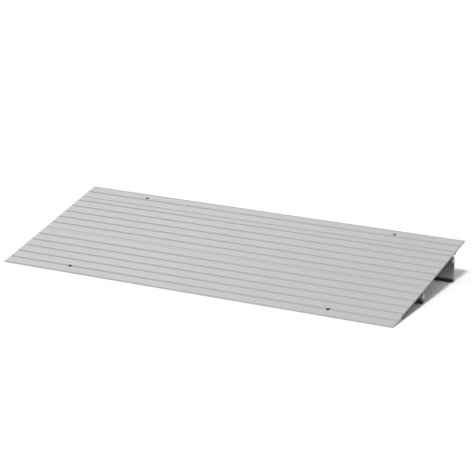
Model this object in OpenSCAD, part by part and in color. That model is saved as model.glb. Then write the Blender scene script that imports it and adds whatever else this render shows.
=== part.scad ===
// Threshold ramp in extruded aluminium: three grooved planks that hinge on each other,
// and two full-width legs that swivel on rails under the two upper planks.
// X runs along the width, Y up the ramp, Z up. The origin is on the floor, midway in X and Y.

/* [Ramp] */
// Width of the ramp, from end to end
ramp_w = 914.4; // [600:0.1:1500]
// Height of the back edge above the floor
rise = 81.7; // [77:0.1:90]
// Height of the front lip that wheels meet first
lip_h = 1.8; // [1.2:0.1:2.6]

/* [Planks] */
// Depth of the entry plank, along the slope
entry_d = 169.5; // [155:0.1:185]
// Depth of the middle plank, along the slope
middle_d = 155.4; // [120:0.1:175]
// Depth of the top plank, along the slope
top_d = 53.1; // [48:0.1:80]
// Thickness of the deck plate
plate_t = 3.2; // [2.8:0.1:3.8]
// Radius of the edges at the ramp's front and back
edge_r = 0.8; // [0.4:0.1:1]

/* [Toe] */
// Depth of the flat toe that lies on the floor
toe_d = 42; // [36:0.5:60]

/* [Tread] */
// Distance between the grooves of a plank
groove_pitch = 27.9; // [20:0.1:40]
// Width of a groove at the deck's face
groove_w = 6.4; // [4:0.1:9]
// Depth of a groove
groove_depth = 0.5; // [0.3:0.1:1]
// From the front edge of the entry plank to its first groove
entry_first_groove = 26.4; // [22:0.1:32]
// From the front edge of the middle plank to its first groove
middle_first_groove = 25.2; // [20:0.1:32]
// From the front edge of the top plank to its first groove
top_first_groove = 26.6; // [20:0.1:32]
// Least distance from a groove to the back edge of its plank
groove_edge_room = 15; // [12:0.5:18]
// From the back edge of the entry plank to the fine line in front of it
line_back = 8; // [4:0.1:11]
// Width of the fine line
line_w = 1; // [0.8:0.1:2]
// Depth of the fine line
line_depth = 0.3; // [0.2:0.1:0.4]

/* [Plank hinges] */
// Gap between two planks at the deck's face
seam_gap = 0.5; // [0.4:0.05:0.7]
// Radius of the deck's edges along the seams
seam_edge_r = 0.4; // [0.2:0.1:0.8]
// Radius of the hinge bead on the front edge of a plank
hinge_bead_r = 1.7; // [1.5:0.05:1.9]
// Running clearance round the hinge bead
hinge_clear = 0.08; // [0.05:0.01:0.1]
// Wall of the hinge socket on the back edge of a plank
hinge_wall = 1.5; // [1.2:0.1:1.9]
// How far the bead's axis lies under the plate's lower face
hinge_drop = 0.4; // [0.3:0.05:0.6]
// Angle by which a plank can drop from its neighbour's plane
hinge_down = 8; // [4:0.5:9]
// Radius of the fillet between the plate and the hinge socket
hinge_fillet_r = 2; // [1:0.1:3]

/* [Leg rails] */
// Depth of the short leg's swivel axis under the deck's face
short_rail_depth = 22.2; // [21:0.1:25]
// Depth of the tall leg's swivel axis under the deck's face
tall_rail_depth = 22.7; // [21:0.1:25]
// Thickness of the rail's neck
neck_t = 3; // [2.4:0.1:3.4]
// Radius of the rail's bead
rail_bead_r = 4.2; // [3.8:0.1:4.6]
// Gap between the tall leg's rail and the hinge socket in front of it
neck_gap = 0.8; // [0.3:0.1:1.5]
// Radius of the fillets at the neck's root
neck_fillet_r = 2.5; // [1:0.1:3]
// Distance from the ends of a leg to the ends of its rail
rail_recess = 0.4; // [0.2:0.1:3]

/* [Legs] */
// Running clearance round the rail's bead
swivel_clear = 0.08; // [0.05:0.01:0.1]
// Wall of the leg's knuckle
knuckle_wall = 2.7; // [1.8:0.1:3]
// Thickness of a leg's web
web_t = 3.2; // [2.6:0.1:3.6]
// Radius of the fillet between a knuckle and its web
web_fillet_r = 1.5; // [0.8:0.1:2]
// Angle by which a leg's foot can swing forward
swing_front = 20; // [5:1:50]
// Angle by which a leg's foot can swing back
swing_back = 10; // [5:1:14]
// Angle left free beside the neck at the end of the swing
swing_room = 2; // [1:0.5:4]
// Distance from the deck's ends to the ends of the short leg
short_leg_inset = 7.2; // [6:0.1:20]
// Distance from the deck's ends to the ends of the tall leg
tall_leg_inset = 7.2; // [6:0.1:20]
// Distance of the short leg's back face behind its swivel axis
short_web_back = 2.6; // [1.6:0.1:3.2]

/* [Foot strips] */
// Distance from a leg's ends to its strip's ends
strip_inset = 0.4; // [0.2:0.1:5]
// Depth of a strip
foot_d = 9.4; // [9:0.1:14]
// Height of a strip
foot_h = 5.4; // [4.8:0.1:6.4]
// Thickness of the strip under the leg's tongue
sole_t = 2; // [1.5:0.1:2.6]
// Thickness of the strip behind the tongue
heel_t = 1.1; // [0.8:0.1:1.4]
// Thickness of the tongue under the leg's web
tongue_t = 1.3; // [1:0.1:1.6]
// Depth of the barb at the tongue's end
barb_d = 5; // [3:0.1:6]
// Thickness of the barb
barb_t = 1.2; // [0.8:0.1:1.6]
// Clearance between the strip and the leg
strip_clear = 0.05; // [0.02:0.01:0.1]
// Radius of the strip's front edges
strip_edge_r = 0.9; // [0.4:0.1:1.1]
// Number of grooves in the sole
sole_grooves = 3; // [1:1:3]
// Width of a groove in the sole
sole_groove_w = 0.9; // [0.5:0.1:1.1]
// Depth of a groove in the sole
sole_groove_h = 0.5; // [0.3:0.1:0.8]

/* [Set screws] */
// Number of set screws in each leg
set_screw_count = 3; // [2:1:6]
// Distance from a leg's ends to its first and last set screw
set_screw_end_dist = 60; // [20:1:120]
// Radius of a set screw
set_screw_r = 2.5; // [2:0.1:2.8]
// Length of a set screw
set_screw_len = 3.3; // [3:0.1:5]
// Clearance between a set screw's tip and the rail's bead
set_screw_clear = 0.05; // [0.02:0.01:0.1]
// Width across flats of the key socket
key_w = 2.5; // [1.5:0.1:2.8]
// Depth of the key socket
key_depth = 1.6; // [1:0.1:2.2]
// Chamfer at the set screw's ends
set_screw_chamfer = 0.4; // [0.2:0.1:0.6]

/* [Mounting holes] */
// Radius of the four mounting holes
hole_r = 3.5; // [2.5:0.1:4.2]
// Distance from the deck's ends to the mounting holes
hole_end_dist = 152.4; // [60:0.1:250]
// From the front edge to the front holes, along the slope
front_hole_d = 25; // [23:0.1:30]
// From the back edge to the back holes, along the slope
back_hole_d = 19.4; // [14:0.1:24]

/* [Hidden] */

$fn = 96;
eps = 0.01;
// How far shapes that are fused reach into each other
lap = 0.5;

// Slope, and the place of the seams along it
deck_d = entry_d + middle_d + top_d + 2 * seam_gap;
slope = asin((rise - lip_h) / deck_d);
short_seam = entry_d + seam_gap / 2;
tall_seam = entry_d + middle_d + 1.5 * seam_gap;
run = deck_d * cos(slope) + plate_t * sin(slope);

// Hinge between two planks, in the deck's plane: the bead's axis is straight under the seam
hinge_depth = plate_t + hinge_drop;
hinge_bore_r = hinge_bead_r + hinge_clear;
hinge_socket_r = hinge_bore_r + hinge_wall;
hinge_lip_r = hinge_wall / 2;
hinge_lip_mid_r = hinge_bore_r + hinge_lip_r;
// The plate's lower face meets the bore at this angle, and the lip stops short of it
plate_angle = asin(hinge_drop / hinge_socket_r);
hinge_lip_angle = plate_angle - hinge_down - 3 - asin(hinge_lip_r / hinge_lip_mid_r);

// Rail that a leg swivels on: the short leg's hangs under the hinge socket of the entry plank,
// and the tall leg's stands just behind the socket, under the front of the top plank
tall_rail_setback = hinge_socket_r + neck_gap + neck_t / 2;
knuckle_bore_r = rail_bead_r + swivel_clear;
knuckle_r = knuckle_bore_r + knuckle_wall;
lip_r = knuckle_wall / 2;
lip_mid_r = knuckle_bore_r + lip_r;
lip_half_angle = asin(lip_r / lip_mid_r);
neck_half_angle = asin(neck_t / 2 / knuckle_bore_r);
neck_angle = 90 + slope;
mouth_back_angle = neck_angle - swing_back - neck_half_angle - swing_room - lip_half_angle;
mouth_front_angle = neck_angle + swing_front + neck_half_angle + swing_room + lip_half_angle;

// Point of the side view, from the front edge, for a place on the slope and a height off it
function deck_point(along, off) = [
    along * cos(slope) - off * sin(slope),
    lip_h + along * sin(slope) + off * cos(slope)
];

short_axis = deck_point(short_seam, -short_rail_depth);
tall_axis = deck_point(tall_seam + tall_rail_setback, -tall_rail_depth);

short_leg_len = ramp_w - 2 * short_leg_inset;
tall_leg_len = ramp_w - 2 * tall_leg_inset;

aluminium = [0.78, 0.79, 0.80];
leg_metal = [0.72, 0.73, 0.74];
rubber_black = [0.09, 0.09, 0.09];
steel = [0.62, 0.63, 0.65];

// Stretches a side view, drawn as [Y, Z] from the front edge, along the width
module along_width(len) {
    translate([0, -run / 2, 0])
        rotate([90, 0, 90])
            linear_extrude(height = len, center = true)
                children();
}

// Places a shape drawn as [along the slope, off the slope]
module on_slope() {
    translate([0, lip_h])
        rotate(slope)
            children();
}

// What rounds off the corner at the origin of a shape that lies to its lower left
module corner_cut(r) {
    translate([-r, -r])
        difference() {
            square(r + eps);
            circle(r);
        }
}

// What fills the inner corner at the origin between a wall on the left and a floor below
module corner_fill(r) {
    difference() {
        polygon([[-lap, -lap], [r, -lap], [r, r], [-lap, r]]);
        translate([r, r])
            circle(r);
    }
}

// Centre of the round blend of radius r between a circle round the origin and a wall, which
// rises from the circle at wall_x and has its outer face towards the origin
function blend_centre(circle_r, wall_x, r) = [
    wall_x - r,
    sqrt(pow(circle_r + r, 2) - pow(wall_x - r, 2))
];

// Fills the notch between that circle and wall, up to the blend's centre
module blend_fill(circle_r, wall_x, r) {
    centre = blend_centre(circle_r, wall_x, r);
    polygon([
        centre * (circle_r - lap) / (circle_r + r),
        centre,
        [wall_x + lap, centre[1]],
        [wall_x + lap, 0]
    ]);
}

// Rounds out the filled notch, reaching a hair into the circle and the wall
module blend_cut(circle_r, wall_x, r) {
    translate(blend_centre(circle_r, wall_x, r))
        circle(r + eps);
}

// Round-bottomed groove of width w and depth d in the deck's face
module groove_section(w, d) {
    r = (pow(w / 2, 2) + pow(d, 2)) / (2 * d);
    translate([0, r - d])
        circle(r);
}

// Plate with its grooves, from 0 to its depth along the slope, with the radii of its deck's
// front and back edges
module plate_section(depth, first_groove, front_r, back_r) {
    last = floor((depth - first_groove - groove_edge_room) / groove_pitch);
    difference() {
        translate([0, -plate_t])
            square([depth, plate_t]);
        for (i = [0:last])
            translate([first_groove + i * groove_pitch, 0])
                groove_section(groove_w, groove_depth);
        if (front_r > 0)
            mirror([1, 0])
                corner_cut(front_r);
        translate([depth, 0])
            corner_cut(back_r);
    }
}

// Way into the hinge socket, drawn round the bead's axis
module hinge_mouth_section() {
    reach = 2 * hinge_socket_r;
    circle(hinge_bore_r);
    polygon([
        [0, 0],
        [reach * cos(hinge_lip_angle), reach * sin(hinge_lip_angle)],
        [reach, reach],
        [-seam_gap / 2, reach],
        [-seam_gap / 2, 0]
    ]);
}

// Plate that ends in a hinge socket, from 0 to its depth along the slope
module socket_plank_section(depth, first_groove, front_r) {
    axis = [depth + seam_gap / 2, -hinge_depth];
    difference() {
        union() {
            plate_section(depth, first_groove, front_r, seam_edge_r);
            translate(axis) {
                circle(hinge_socket_r);
                rotate(90)
                    blend_fill(hinge_socket_r, hinge_drop, hinge_fillet_r);
            }
        }
        translate(axis) {
            hinge_mouth_section();
            rotate(90)
                blend_cut(hinge_socket_r, hinge_drop, hinge_fillet_r);
        }
    }
    translate(axis)
        rotate(hinge_lip_angle)
            translate([hinge_lip_mid_r, 0])
                circle(hinge_lip_r + eps);
}

// Rail under a hinge socket, drawn round the socket's axis
module socket_rail_section() {
    bead_y = hinge_depth - short_rail_depth;
    difference() {
        union() {
            translate([-neck_t / 2, bead_y])
                square([neck_t, -bead_y - hinge_socket_r + lap]);
            mirror([0, 1])
                blend_fill(hinge_socket_r, -neck_t / 2, neck_fillet_r);
            rotate(180)
                blend_fill(hinge_socket_r, -neck_t / 2, neck_fillet_r);
        }
        circle(hinge_socket_r - lap);
        mirror([0, 1])
            blend_cut(hinge_socket_r, -neck_t / 2, neck_fillet_r);
        rotate(180)
            blend_cut(hinge_socket_r, -neck_t / 2, neck_fillet_r);
    }
    translate([0, bead_y])
        circle(rail_bead_r);
}

// Rail under a plate, drawn round the axis of the hinge in front of it
module plate_rail_section() {
    bead_y = hinge_depth - tall_rail_depth;
    translate([tall_rail_setback, 0]) {
        translate([-neck_t / 2, bead_y])
            square([neck_t, hinge_depth - plate_t / 2 - bead_y]);
        translate([0, bead_y])
            circle(rail_bead_r);
        translate([neck_t / 2, hinge_depth - plate_t])
            mirror([0, 1])
                corner_fill(neck_fillet_r);
    }
}

// Mounting hole through the deck, square to its face
module deck_hole(along, depth) {
    for (side = [-1, 1])
        translate([side * (ramp_w / 2 - hole_end_dist), -run / 2, lip_h])
            rotate([slope, 0, 0])
                translate([0, along, -depth])
                    cylinder(r = hole_r, h = depth + 1);
}

// Rounds off the corner between the ramp's front face and the deck
module lip_cut() {
    reach = edge_r * (1 - sin(slope));
    centre = [edge_r, lip_h - reach / cos(slope)];
    difference() {
        translate([-1, centre[1]])
            square([1 + reach, 2 * edge_r]);
        translate(centre)
            circle(edge_r);
    }
}

// Solid wedge under the front of the entry plank
module toe_section() {
    polygon([
        [0, 0],
        [toe_d, 0],
        [toe_d, lip_h + toe_d * tan(slope) - plate_t / 2],
        [0, lip_h]
    ]);
}

// What is taken off the entry plank: below the floor, the first groove and the lip's corner
module toe_cut_section() {
    translate([-1, -rise])
        square([run, rise]);
    on_slope()
        translate([entry_first_groove, 0])
            groove_section(groove_w, groove_depth);
    lip_cut();
}

module entry_plank() {
    color(aluminium)
        difference() {
            union() {
                along_width(ramp_w)
                    difference() {
                        toe_section();
                        toe_cut_section();
                    }
                along_width(ramp_w)
                    difference() {
                        on_slope()
                            difference() {
                                socket_plank_section(entry_d, entry_first_groove, 0);
                                translate([entry_d - line_back, 0])
                                    groove_section(line_w, line_depth);
                            }
                        toe_cut_section();
                    }
                along_width(short_leg_len - 2 * rail_recess)
                    on_slope()
                        translate([short_seam, -hinge_depth])
                            socket_rail_section();
            }
            deck_hole(front_hole_d, lip_h + toe_d);
        }
}

module middle_plank() {
    color(aluminium) {
        along_width(ramp_w)
            on_slope()
                translate([short_seam + seam_gap / 2, 0])
                    socket_plank_section(middle_d, middle_first_groove, seam_edge_r);
        along_width(ramp_w)
            on_slope()
                translate([short_seam, -hinge_depth])
                    circle(hinge_bead_r);
    }
}

module top_plank() {
    color(aluminium)
        difference() {
            union() {
                along_width(ramp_w)
                    on_slope() {
                        translate([tall_seam + seam_gap / 2, 0])
                            plate_section(top_d, top_first_groove, seam_edge_r, edge_r);
                        translate([tall_seam, -hinge_depth])
                            circle(hinge_bead_r);
                    }
                along_width(tall_leg_len - 2 * rail_recess)
                    on_slope()
                        translate([tall_seam, -hinge_depth])
                            plate_rail_section();
            }
            deck_hole(deck_d - back_hole_d, plate_t + 1);
        }
}

// Open ring that grips the rail's bead, drawn round the swivel axis
module knuckle_section() {
    reach = 2 * knuckle_r;
    difference() {
        circle(knuckle_r);
        circle(knuckle_bore_r);
        polygon([
            [0, 0],
            [reach * cos(mouth_back_angle), reach * sin(mouth_back_angle)],
            [0, reach],
            [-reach, reach],
            [reach * cos(mouth_front_angle), reach * sin(mouth_front_angle)]
        ]);
    }
    for (angle = [mouth_back_angle, mouth_front_angle])
        rotate(angle)
            translate([lip_mid_r, 0])
                circle(lip_r + eps);
}

// Tongue and barb that hold a strip, grown by room on every side, with the floor at 0: back
// is where the back face of the tongue stands
module tongue_section(back, room) {
    tongue_front = back - tongue_t - room;
    barb_front = back - barb_d - room;
    low = sole_t + strip_clear - room;
    translate([tongue_front, low])
        square([tongue_t + 2 * room, foot_h + lap - low]);
    translate([barb_front, low])
        square([barb_d + 2 * room, barb_t + 2 * room]);
}

// Web and tongue of a leg, drawn round its swivel axis: axis_h is the axis' height over the
// floor, and web_back is where the back face of the web stands
module web_section(axis_h, web_back) {
    web_front = web_back - web_t;
    web_foot = foot_h + strip_clear - axis_h;
    difference() {
        union() {
            translate([web_front, web_foot])
                square([web_t, -web_foot]);
            translate([0, -axis_h])
                tongue_section(web_back - heel_t - strip_clear, 0);
            mirror([0, 1])
                blend_fill(knuckle_r, web_front, web_fillet_r);
            if (web_back < knuckle_r)
                rotate(180)
                    blend_fill(knuckle_r, -web_back, web_fillet_r);
        }
        circle(knuckle_bore_r);
        mirror([0, 1])
            blend_cut(knuckle_r, web_front, web_fillet_r);
        if (web_back < knuckle_r)
            rotate(180)
                blend_cut(knuckle_r, -web_back, web_fillet_r);
    }
}

// Rubber strip drawn as the leg is, with a slot for the leg's tongue
module strip_section(axis_h, web_back) {
    front = web_back - foot_d;
    groove_step = foot_d / (sole_grooves + 1);
    translate([0, -axis_h])
        difference() {
            translate([front, 0])
                square([foot_d, foot_h]);
            tongue_section(web_back - heel_t - strip_clear, strip_clear);
            translate([front, foot_h])
                mirror([1, 0])
                    corner_cut(strip_edge_r);
            translate([front, 0])
                mirror([1, 0])
                    mirror([0, 1])
                        corner_cut(strip_edge_r);
            for (i = [1:sole_grooves])
                translate([front + i * groove_step - sole_groove_w / 2, -eps])
                    square([sole_groove_w, sole_groove_h + eps]);
        }
}

// Places a piece, drawn along +Z, at each set screw's place in a leg: it points back, and
// its origin is on the bead
module at_set_screws(axis, leg_len) {
    span = leg_len - 2 * set_screw_end_dist;
    for (i = [0:set_screw_count - 1])
        translate([span * (i / (set_screw_count - 1) - 0.5), axis[0] - run / 2, axis[1]])
            rotate([-90, 0, 0])
                translate([0, 0, rail_bead_r])
                    children();
}

module leg(axis, leg_len, web_back) {
    color(leg_metal)
        difference() {
            union() {
                along_width(leg_len)
                    translate(axis)
                        knuckle_section();
                along_width(leg_len)
                    translate(axis)
                        web_section(axis[1], web_back);
            }
            at_set_screws(axis, leg_len)
                translate([0, 0, -rail_bead_r])
                    cylinder(r = set_screw_r, h = rail_bead_r + 2 * knuckle_wall);
        }
}

module foot_strip(axis, leg_len, web_back) {
    color(rubber_black)
        along_width(leg_len - 2 * strip_inset)
            translate(axis)
                strip_section(axis[1], web_back);
}

module set_screws(axis, leg_len) {
    tip_r = set_screw_r - set_screw_chamfer;
    color(steel)
        at_set_screws(axis, leg_len)
            translate([0, 0, set_screw_clear])
                difference() {
                    union() {
                        cylinder(r1 = tip_r, r2 = set_screw_r, h = set_screw_chamfer);
                        translate([0, 0, set_screw_chamfer])
                            cylinder(r = set_screw_r, h = set_screw_len - 2 * set_screw_chamfer);
                        translate([0, 0, set_screw_len - set_screw_chamfer])
                            cylinder(r1 = set_screw_r, r2 = tip_r, h = set_screw_chamfer);
                    }
                    translate([0, 0, set_screw_len - key_depth])
                        cylinder(d = key_w / cos(30), h = key_depth + 1, $fn = 6);
                }
}

module short_leg() {
    leg(short_axis, short_leg_len, short_web_back);
}

module tall_leg() {
    leg(tall_axis, tall_leg_len, knuckle_r);
}

module short_foot_strip() {
    foot_strip(short_axis, short_leg_len, short_web_back);
}

module tall_foot_strip() {
    foot_strip(tall_axis, tall_leg_len, knuckle_r);
}

module short_leg_set_screws() {
    set_screws(short_axis, short_leg_len);
}

module tall_leg_set_screws() {
    set_screws(tall_axis, tall_leg_len);
}

entry_plank();
middle_plank();
top_plank();
short_leg();
tall_leg();
short_foot_strip();
tall_foot_strip();
short_leg_set_screws();
tall_leg_set_screws();
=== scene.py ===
"""Looks of the threshold ramp: materials, floor, light and the photograph's camera.

Lengths are in metres. A place across the deck is measured from its middle, a place along it up the
slope from its front edge, and a depth square to its face, downwards. Most pairs are the two ends of
a smooth change: where it starts and stops, or the values before and after it.
"""

import math

import bpy
from mathutils import Matrix, Vector

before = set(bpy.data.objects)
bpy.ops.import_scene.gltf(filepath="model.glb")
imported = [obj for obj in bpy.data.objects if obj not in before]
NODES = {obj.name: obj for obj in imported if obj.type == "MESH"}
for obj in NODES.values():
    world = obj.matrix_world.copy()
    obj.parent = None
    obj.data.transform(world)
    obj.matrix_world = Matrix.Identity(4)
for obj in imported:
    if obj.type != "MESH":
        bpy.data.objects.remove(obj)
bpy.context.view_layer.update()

# The deck's face, from its front edge up
RUN, RISE, LIP_HEIGHT, DECK_DEPTH = 0.371157, 0.0817, 0.0018, 0.379
SLOPE = math.asin((RISE - LIP_HEIGHT) / DECK_DEPTH)
LIP = (-RUN / 2, LIP_HEIGHT)

# Mill finish: how rough it is, and how bright on the planks and on the legs
MILL_ROUGH, DECK_LEVEL, LEG_LEVEL = 0.46, 0.60, 0.515
# Its tint wanders between these two, by a noise that is moved away from the others
COOL, WARM = (0.998, 1.0, 1.003), (1.003, 1.0, 0.997)
WARMTH_SHIFT, WARMTH_SPAN = (3.1, 1.7, 0.4), (0.35, 0.65)
# Painted shade: the planks get darker from left to right, as the light falls off across them
DECK_FALLOFF_PLACE, DECK_LIGHT_FALLOFF = (-0.2, 0.5), (1.064, 0.955)

# Grooves, painted darker than the deck as shade in their hollows: the depths over which they start
# and end, their tone from left to right, and their shine
GROOVE_START, GROOVE_END = (0.00002, 0.0001), (0.0008, 0.0012)
GROOVE_DRIFT_PLACE, GROOVE_SHADE_TONE = (-0.45, 0.45), (0.633, 0.677)
GROOVE_METALLIC = 0.3
# The fine line in front of the lower seam is a weaker groove
LINE_PLACE, LINE_REACH, LINE_STRENGTH = 0.1615, (0.0012, 0.0016), 0.5

# Darker bands across the deck: painted shade at the seams, the lip and the back edge, with dirt as
# well in the seams. Their place along it, their reach and their strength
EDGE_SHADE_BANDS = {
    "lower seam": (0.16975, 0.0018, 0.14),
    "upper seam": (0.32540, 0.0040, 0.10),
    "lip": (0.0016, 0.0026, 0.17),
    "back edge": (DECK_DEPTH, 0.0060, 0.22),
}
# The painted shade is strongest up to this share of its reach, and gets weaker from left to right
EDGE_SHADE_CORE = 0.4
EDGE_SHADE_DRIFT_PLACE, EDGE_SHADE_DRIFT = (-0.3, 0.45), (1.2, 0.75)
# Faces that look to the front: painted light at the lip, and painted shade behind it
FRONT_FACING, FRONT_PLACE, FRONT_LIGHT_AND_SHADE = (0.45, 0.9), (0.003, 0.006), (-0.2, 0.35)

# Screw holes, with painted shade in them and just above them: the place along, and the tones of the
# rim, the upper wall and the lower wall
HOLES = ((0.0250, 0.55, 0.03, 0.35), (0.3596, 0.75, 0.25, 0.6))
HOLE_ACROSS = 0.3048
HOLE_SHIFT, HOLE_REACH = 0.0013, (0.0040, 0.0050)
HOLE_RIM_DEPTH, HOLE_WALL_DEPTH = (0.0, 0.0003), (0.001, 0.003)

# Sawn ends: which faces are taken for one, by the X of their normal
SAWN_FACING = (0.9, 0.97)
# Those of the planks, with painted light and shade: the solid toe is painted lighter, and the plate
# behind it darker, getting lighter up the slope
TOE_END, TOE_TONES = (0.040, 0.048), (0.72, 0.26)
PLATE_PLACE, PLATE_GAIN = (0.06, 0.15), 0.30
# The rails are all that lies deeper than this
RAIL_DEPTH, RAIL_TONE = (0.0165, 0.0170), 0.9
# Those of the legs: heights, and the tones at them
LEG_END_HEIGHT, LEG_END_TONES = (0.006, 0.008), (0.35, 0.83)
# The rest of the legs: painted light, lighter towards the foot, by heights and tones of two changes,
# one on top of the other
LEG_TONES = (((0.006, 0.046), (1.5, 0.82)), ((0.008, 0.022), (1.3, 1.0)))

# Light that reaches matt surfaces: from the sky at its rim and at its top, and from the sun
SKY_RIM, SKY_TOP = 0.15, 0.55
SUN, SUN_SIZE_DEGREES = 2.17, 10
SUN_TRAVEL = Vector((-0.100, 0.541, -0.841))

# The floor: its half width, how far it lies below the feet, and what it reflects onto the ramp
FLOOR_HALF, FLOOR_DROP, FLOOR_BOUNCE = 30.0, 0.0002, 0.8
# Its tone in the picture: over 1 it is white, as it has to stay behind the ramp
FLOOR_TONE = 1.03
# Painted light and shade on the floor's shadow: changes of that tone from one Y to another, in the
# ramp's width and beside it
UNDER_RAMP = (
    (-0.022, -0.014, 0.13),
    (0.020, 0.070, 0.12),
    (0.070, 0.120, 0.23),
    (0.139, 0.149, -0.49),
    (0.235, 0.275, 0.04),
)
BESIDE_RAMP = ((-0.190, -0.150, 0.12), (0.120, 0.160, -0.12))
RAMP_SIDE = (0.446, 0.456)
# Painted shade: closed-in places in the ramp's width are darkened, from its front edge back
NOOK_REACH, NOOK_SHADE, NOOK_FRONT = 0.030, 0.52, (-0.186, -0.180)

# The camera, from a least-squares fit to the photograph's edges, holes and seams
FOCAL_PX = 1987.138
AZIMUTH, ELEVATION, ROLL = 27.917, 16.484, 0.2
DISTANCE = 4.276207
AIM = Vector((0.0, 0.044422, 0.03))
AIM_SHIFT = (-0.008827, 0.029931)
# Width of the photograph and of the camera's sensor, and the range that the camera sees
PHOTO_PX, SENSOR_MM = 474, 36.0
NEAREST, FARTHEST = 0.05, 100

# Sockets of the mix node that are for colours: others have the same names
MIX_A, MIX_B, MIX_RESULT = 6, 7, 2


def add_camera():
    """The photograph's camera: it looks past AIM by AIM_SHIFT, and is rolled a little."""
    azimuth, elevation, roll = (math.radians(angle) for angle in (AZIMUTH, ELEVATION, ROLL))
    flat = math.cos(elevation)
    back = Vector((math.sin(azimuth) * flat, -math.cos(azimuth) * flat, math.sin(elevation)))
    level = (-back).cross(Vector((0, 0, 1))).normalized()
    upright = level.cross(-back)
    right = math.cos(roll) * level + math.sin(roll) * upright
    up = -math.sin(roll) * level + math.cos(roll) * upright
    place = AIM + right * AIM_SHIFT[0] + up * AIM_SHIFT[1] + back * DISTANCE
    data = bpy.data.cameras.new("camera")
    data.sensor_width = SENSOR_MM
    data.sensor_fit = "HORIZONTAL"
    data.lens = SENSOR_MM * FOCAL_PX / PHOTO_PX
    data.clip_start = NEAREST
    data.clip_end = FARTHEST
    camera = bpy.data.objects.new("camera", data)
    turn = Matrix((right, up, back)).transposed().to_4x4()
    camera.matrix_world = Matrix.Translation(place) @ turn
    bpy.context.scene.collection.objects.link(camera)
    bpy.context.scene.camera = camera


class Nodes:
    """The nodes of a material or a world, made by nested calls that return a socket."""

    def __init__(self, owner, output="ShaderNodeOutputMaterial"):
        owner.use_nodes = True
        self.tree = owner.node_tree
        self.tree.nodes.clear()
        self.surface = self.add(output).inputs["Surface"]

    def add(self, kind, **settings):
        """A new node. This call alone returns the node itself."""
        node = self.tree.nodes.new(kind)
        for key, value in settings.items():
            setattr(node, key, value)
        return node

    def put(self, socket, value):
        """Links socket to value, or sets it where value is a number or a colour."""
        if isinstance(value, bpy.types.NodeSocket):
            self.tree.links.new(value, socket)
        else:
            socket.default_value = value

    def coordinates(self, kind):
        return self.add("ShaderNodeTexCoord").outputs[kind]

    def ray(self, kind):
        return self.add("ShaderNodeLightPath").outputs[kind]

    def math(self, operation, *values, clamp=False):
        node = self.add("ShaderNodeMath", operation=operation, use_clamp=clamp)
        for socket, value in zip(node.inputs, values):
            self.put(socket, value)
        return node.outputs[0]

    def plus(self, a, b):
        return self.math("ADD", a, b)

    def minus(self, a, b):
        return self.math("SUBTRACT", a, b)

    def times(self, a, b):
        return self.math("MULTIPLY", a, b)

    def absolute(self, value):
        return self.math("ABSOLUTE", value)

    def between(self, share, a, b):
        """The value a where share is 0, and b where it is 1."""
        return self.math("MULTIPLY_ADD", share, self.minus(b, a), a)

    def ramp(self, value, span, to=(0.0, 1.0)):
        """A smooth change, while value goes over span, between the two values of to."""
        node = self.add("ShaderNodeMapRange", interpolation_type="SMOOTHSTEP")
        names = ("Value", "From Min", "From Max", "To Min", "To Max")
        for name, setting in zip(names, (value, *span, *to)):
            self.put(node.inputs[name], setting)
        return node.outputs["Result"]

    def noise(self, vector, scale, detail, rough=0.5):
        """Noise with one scale, or with one for each axis."""
        if isinstance(scale, tuple):
            vector, scale = self.place(vector, scale), 1.0
        node = self.add("ShaderNodeTexNoise")
        self.put(node.inputs["Vector"], vector)
        self.put(node.inputs["Scale"], scale)
        self.put(node.inputs["Detail"], detail)
        self.put(node.inputs["Roughness"], rough)
        return node.outputs["Fac"]

    def wobble(self, base, *parts):
        """base plus noises that swing about nought, each given with its width."""
        total = base
        for noise, width in parts:
            total = self.math("MULTIPLY_ADD", self.minus(noise, 0.5), width, total)
        return total

    def split(self, vector):
        node = self.add("ShaderNodeSeparateXYZ")
        self.put(node.inputs[0], vector)
        return node.outputs[0], node.outputs[1], node.outputs[2]

    def place(self, vector, scale=(1, 1, 1), angle=0.0, shift=(0, 0, 0)):
        """vector scaled, turned about X and shifted."""
        node = self.add("ShaderNodeMapping")
        self.put(node.inputs["Vector"], vector)
        node.inputs["Scale"].default_value = scale
        node.inputs["Rotation"].default_value = (angle, 0, 0)
        node.inputs["Location"].default_value = shift
        return node.outputs["Vector"]

    def mix(self, share, a, b):
        """The colour a where share is 0, and b where it is 1."""
        node = self.add("ShaderNodeMix", data_type="RGBA")
        self.put(node.inputs["Factor"], share)
        self.put(node.inputs[MIX_A], a)
        self.put(node.inputs[MIX_B], b)
        return node.outputs[MIX_RESULT]

    def shade(self, color, value):
        """color times value."""
        node = self.add("ShaderNodeVectorMath", operation="SCALE")
        self.put(node.inputs[0], color[:3] if isinstance(color, tuple) else color)
        self.put(node.inputs["Scale"], value)
        return node.outputs[0]

    def bump(self, height, distance, strength):
        """The normal of a surface with this relief."""
        node = self.add("ShaderNodeBump")
        self.put(node.inputs["Height"], height)
        self.put(node.inputs["Distance"], distance)
        self.put(node.inputs["Strength"], strength)
        return node.outputs["Normal"]


def material(name):
    """A material, its nodes and its shader."""
    finish = bpy.data.materials.new(name)
    make = Nodes(finish)
    shader = make.add("ShaderNodeBsdfPrincipled")
    make.put(make.surface, shader.outputs[0])
    return finish, make, shader


def coat(make, shader, color, rough, normal):
    make.put(shader.inputs["Base Color"], color)
    make.put(shader.inputs["Roughness"], rough)
    make.put(shader.inputs["Normal"], normal)


def dress(finish, *names):
    """Gives the CAD nodes with these names one material."""
    for name in names:
        slots = NODES[name].data.materials
        slots.clear()
        slots.append(finish)


def grey(level, tint=(1.0, 1.0, 1.0)):
    return tuple(level * part for part in tint) + (1.0,)


def on_deck(make, place):
    """Coordinates across the deck, along it and off its face."""
    y, z = LIP
    along = -y * math.cos(SLOPE) - z * math.sin(SLOPE)
    off = y * math.sin(SLOPE) - z * math.cos(SLOPE)
    return make.place(place, angle=-SLOPE, shift=(0, along, off))


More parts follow.
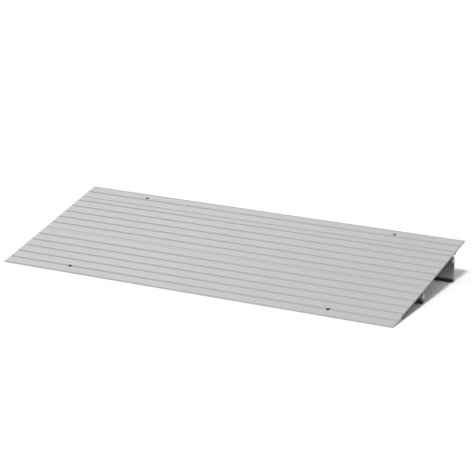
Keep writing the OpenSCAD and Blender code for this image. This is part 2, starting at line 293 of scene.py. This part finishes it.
def mill_finish(make, deck, level):
    """Extruded metal with the die's fine lines along X: its colour, roughness and relief."""
    fine = make.noise(deck, (3.0, 2600, 2600), detail=3.0, rough=0.6)
    broad = make.noise(deck, (0.9, 190, 190), detail=3.0, rough=0.55)
    mottle = make.noise(deck, (60, 130, 130), detail=2.0, rough=0.6)
    cloud = make.noise(deck, 7.0, detail=3.0)
    tone = make.wobble(1.0, (fine, 0.10), (broad, 0.08), (mottle, 0.10), (cloud, 0.05))
    warmth = make.noise(make.place(deck, shift=WARMTH_SHIFT), 5.0, detail=1.0)
    color = make.mix(make.ramp(warmth, WARMTH_SPAN), grey(level, COOL), grey(level, WARM))
    rough = make.wobble(MILL_ROUGH, (fine, 0.12), (cloud, 0.06))
    relief = make.plus(fine, make.times(broad, 1.4))
    return make.shade(color, tone), rough, relief


def sawn_ends(make, place, level, color, rough, relief):
    """Mixes in the ends that a saw has left, and turns the relief into a normal."""
    facing = make.split(make.coordinates("Normal"))[0]
    end = make.ramp(make.absolute(facing), SAWN_FACING)
    saw = make.noise(make.place(place, (1.0, 90, 2200), angle=0.35), 1.0, detail=3.0, rough=0.6)
    sawn = make.shade(grey(1.0), make.times(level, make.wobble(1.0, (saw, 0.4))))
    color = make.mix(end, color, sawn)
    rough = make.plus(rough, make.times(end, 0.10))
    relief = make.plus(relief, make.times(make.times(end, saw), 3.0))
    return color, rough, make.bump(relief, distance=0.000015, strength=0.7)


def in_groove(make, along, depth):
    """1 in the deck's grooves, less in the fine line, and 0 elsewhere."""
    groove = make.times(make.ramp(depth, GROOVE_START), make.ramp(depth, GROOVE_END, (1.0, 0.0)))
    from_line = make.absolute(make.minus(along, LINE_PLACE))
    return make.times(groove, make.ramp(from_line, LINE_REACH, (LINE_STRENGTH, 1.0)))


# Painted shade of the grooves: darker than the deck, in random patches
def shaded_groove_color(make, across, blotches):
    tone = make.ramp(across, GROOVE_DRIFT_PLACE, GROOVE_SHADE_TONE)
    level = make.times(make.times(DECK_LEVEL, tone), make.wobble(1.0, (blotches, 0.3)))
    return make.shade(grey(1.0), level)


def paint_edge_shade(make, color, across, along, blotches):
    """Darkens color along the seams, the lip and the back edge: painted shade, with dirt as well in
    the seams.
    """
    drift = make.ramp(across, EDGE_SHADE_DRIFT_PLACE, EDGE_SHADE_DRIFT)
    amount = make.times(make.wobble(1.0, (blotches, 0.5)), drift)
    for place, reach, strength in EDGE_SHADE_BANDS.values():
        gap = make.absolute(make.minus(along, place))
        band = make.ramp(gap, (reach * EDGE_SHADE_CORE, reach), (strength, 0.0))
        color = make.shade(color, make.minus(1.0, make.times(band, amount)))
    return color


def paint_hole_shade(make, color, across, along, depth):
    """Paints shade into the screw holes, and onto a little of the deck's face just above them."""
    side = make.minus(make.absolute(across), HOLE_ACROSS)
    for place, rim, upper, lower in HOLES:
        way = make.minus(along, place + HOLE_SHIFT)
        away = make.math("SQRT", make.plus(make.times(side, side), make.times(way, way)))
        tone = make.ramp(depth, HOLE_RIM_DEPTH, (rim, upper))
        tone = make.plus(tone, make.ramp(depth, HOLE_WALL_DEPTH, (0.0, lower - upper)))
        near = make.ramp(away, HOLE_REACH, (1.0, 0.0))
        color = make.shade(color, make.between(near, 1.0, tone))
    return color


def shade_fronts(make, color, along):
    """Painted light on the lip, and painted shade on the other faces of the planks that look to the
    front.
    """
    normal_y = make.split(make.coordinates("Normal"))[1]
    front = make.ramp(make.times(normal_y, -1.0), FRONT_FACING)
    front = make.times(front, make.ramp(along, FRONT_PLACE, FRONT_LIGHT_AND_SHADE))
    return make.shade(color, make.minus(1.0, front))


def plank_ends(make, along, depth):
    """Level of the planks' sawn ends, with painted light and shade: toe, plate and rails."""
    tone = make.ramp(along, TOE_END, TOE_TONES)
    tone = make.plus(tone, make.ramp(along, PLATE_PLACE, (0.0, PLATE_GAIN)))
    tone = make.between(make.ramp(depth, RAIL_DEPTH), tone, RAIL_TONE)
    return make.times(tone, DECK_LEVEL)


def deck_aluminium():
    """Planks: mill finish with grooves painted darker, painted shade along the seams, lip and back
    edge (with dirt in the seams), painted shade in the holes, and sawn ends.
    """
    finish, make, shader = material("deck_aluminium")
    place = make.coordinates("Object")
    deck = on_deck(make, place)
    across, along, off = make.split(deck)
    depth = make.times(off, -1.0)
    blotches = make.noise(deck, (60, 900, 900), detail=4.0, rough=0.65)

    color, rough, relief = mill_finish(make, deck, DECK_LEVEL)
    # Painted shade, darker from left to right
    color = make.shade(color, make.ramp(across, DECK_FALLOFF_PLACE, DECK_LIGHT_FALLOFF))
    groove = in_groove(make, along, depth)
    # The grooves get their painted shade
    color = make.mix(groove, color, shaded_groove_color(make, across, blotches))
    # Painted shade along the seams, the lip and the back edge
    color = paint_edge_shade(make, color, across, along, blotches)
    # Painted shade in the screw holes
    color = paint_hole_shade(make, color, across, along, depth)
    color = shade_fronts(make, color, along)
    ends = plank_ends(make, along, depth)
    coat(make, shader, *sawn_ends(make, place, ends, color, rough, relief))
    make.put(shader.inputs["Metallic"], make.between(groove, 1.0, GROOVE_METALLIC))
    return finish


def leg_aluminium():
    """Legs: mill finish, lighter towards the foot, where the floor's light reaches them."""
    finish, make, shader = material("leg_aluminium")
    place = make.coordinates("Object")
    height = make.split(place)[2]
    color, rough, relief = mill_finish(make, on_deck(make, place), LEG_LEVEL)
    for span, tones in LEG_TONES:
        color = make.shade(color, make.ramp(height, span, tones))
    ends = make.times(make.ramp(height, LEG_END_HEIGHT, LEG_END_TONES), LEG_LEVEL)
    coat(make, shader, *sawn_ends(make, place, ends, color, rough, relief))
    shader.inputs["Metallic"].default_value = 1.0
    return finish


def black_rubber():
    """Foot strips: matt and grained, and paler where the rubber has bloomed."""
    finish, make, shader = material("black_rubber")
    place = make.coordinates("Object")
    grain = make.noise(place, 2600.0, detail=3.0, rough=0.6)
    bloom = make.noise(place, (14, 120, 120), detail=4.0, rough=0.6)
    pale = make.ramp(bloom, (0.45, 0.75))
    color = make.mix(pale, grey(0.06), grey(0.10, (1.02, 1.0, 0.97)))
    color = make.shade(color, make.plus(0.8, make.times(grain, 0.4)))
    rough = make.plus(0.58, make.times(bloom, 0.25))
    coat(make, shader, color, rough, make.bump(grain, distance=0.00006, strength=0.6))
    shader.inputs["Specular IOR Level"].default_value = 0.2
    return finish


def steel():
    """Set screws: zinc plated and stained, with fine turning marks."""
    finish, make, shader = material("steel")
    place = make.coordinates("Object")
    stain = make.noise(place, 420.0, detail=3.0, rough=0.6)
    turned = make.noise(place, (2500, 300, 2500), detail=2.0, rough=0.6)
    clean, stained = grey(0.46, (0.98, 1.0, 1.04)), grey(0.32, (1.04, 1.0, 0.94))
    color = make.mix(make.ramp(stain, (0.4, 0.7)), clean, stained)
    rough = make.plus(0.28, make.times(stain, 0.22))
    coat(make, shader, color, rough, make.bump(turned, distance=0.00003, strength=0.6))
    shader.inputs["Metallic"].default_value = 1.0
    return finish


def floor_tone(make):
    """The floor's tone in the picture, by its place and by how closed in it is: painted light and
    shade on the ramp's shadow.
    """
    x, y, _ = make.split(make.coordinates("Object"))
    under, beside = FLOOR_TONE, FLOOR_TONE
    for low, high, change in UNDER_RAMP:
        under = make.plus(under, make.ramp(y, (low, high), (0.0, change)))
    for low, high, change in BESIDE_RAMP:
        beside = make.plus(beside, make.ramp(y, (low, high), (0.0, change)))
    # Painted shade where the floor is closed in
    nook = make.add("ShaderNodeAmbientOcclusion", samples=8)
    nook.inputs["Distance"].default_value = NOOK_REACH
    hidden = make.minus(1.0, nook.outputs["AO"])
    shade = make.times(hidden, make.ramp(y, NOOK_FRONT, (0.0, NOOK_SHADE)))
    under = make.times(under, make.minus(1.0, shade))
    outside = make.ramp(make.absolute(x), RAMP_SIDE)
    return make.between(outside, under, beside)


def studio_floor():
    """White that takes the shadow. It lights the ramp evenly, whatever its tone in the picture."""
    finish = bpy.data.materials.new("studio_floor")
    make = Nodes(finish)
    seen = make.add("ShaderNodeBsdfDiffuse")
    make.put(seen.inputs["Color"], make.shade(grey(1.0), floor_tone(make)))
    bounce = make.add("ShaderNodeBsdfDiffuse")
    make.put(bounce.inputs["Color"], grey(FLOOR_BOUNCE))
    pick = make.add("ShaderNodeMixShader")
    make.put(pick.inputs[0], make.ray("Is Camera Ray"))
    make.put(pick.inputs[1], bounce.outputs[0])
    make.put(pick.inputs[2], seen.outputs[0])
    make.put(make.surface, pick.outputs[0])
    return finish


def add_floor():
    half = FLOOR_HALF
    corners = [(-half, -half, 0), (half, -half, 0), (half, half, 0), (-half, half, 0)]
    mesh = bpy.data.meshes.new("floor")
    mesh.from_pydata(corners, [], [(0, 1, 2, 3)])
    mesh.materials.append(studio_floor())
    floor = bpy.data.objects.new("floor", mesh)
    floor.location.z = -FLOOR_DROP
    bpy.context.scene.collection.objects.link(floor)


def add_sky():
    """Plain white for the camera and in reflections, and a softer sky for matt surfaces."""
    world = bpy.data.worlds.new("studio")
    bpy.context.scene.world = world
    make = Nodes(world, "ShaderNodeOutputWorld")
    direct = make.plus(make.ray("Is Camera Ray"), make.ray("Is Glossy Ray"))
    direct = make.math("ADD", direct, make.ray("Is Transmission Ray"), clamp=True)
    up = make.math("MAXIMUM", make.split(make.coordinates("Generated"))[2], 0.0)
    sky = make.between(up, SKY_RIM, SKY_TOP)
    background = make.add("ShaderNodeBackground")
    make.put(background.inputs["Color"], grey(1.0))
    make.put(background.inputs["Strength"], make.between(direct, sky, 1.0))
    make.put(make.surface, background.outputs[0])


def add_sun():
    """Sun that casts the shadow. It is left out of reflections, where it would burn out the deck."""
    data = bpy.data.lights.new("key", "SUN")
    data.energy = SUN
    data.angle = math.radians(SUN_SIZE_DEGREES)
    sun = bpy.data.objects.new("key", data)
    sun.visible_glossy = False
    sun.rotation_euler = SUN_TRAVEL.to_track_quat("-Z", "Y").to_euler()
    bpy.context.scene.collection.objects.link(sun)


add_camera()
add_floor()
add_sky()
add_sun()
dress(deck_aluminium(), "entry_plank", "middle_plank", "top_plank")
dress(leg_aluminium(), "short_leg", "tall_leg")
dress(black_rubber(), "short_foot_strip", "tall_foot_strip")
dress(steel(), "short_leg_set_screws", "tall_leg_set_screws")

bpy.context.scene.view_settings.view_transform = "Standard"
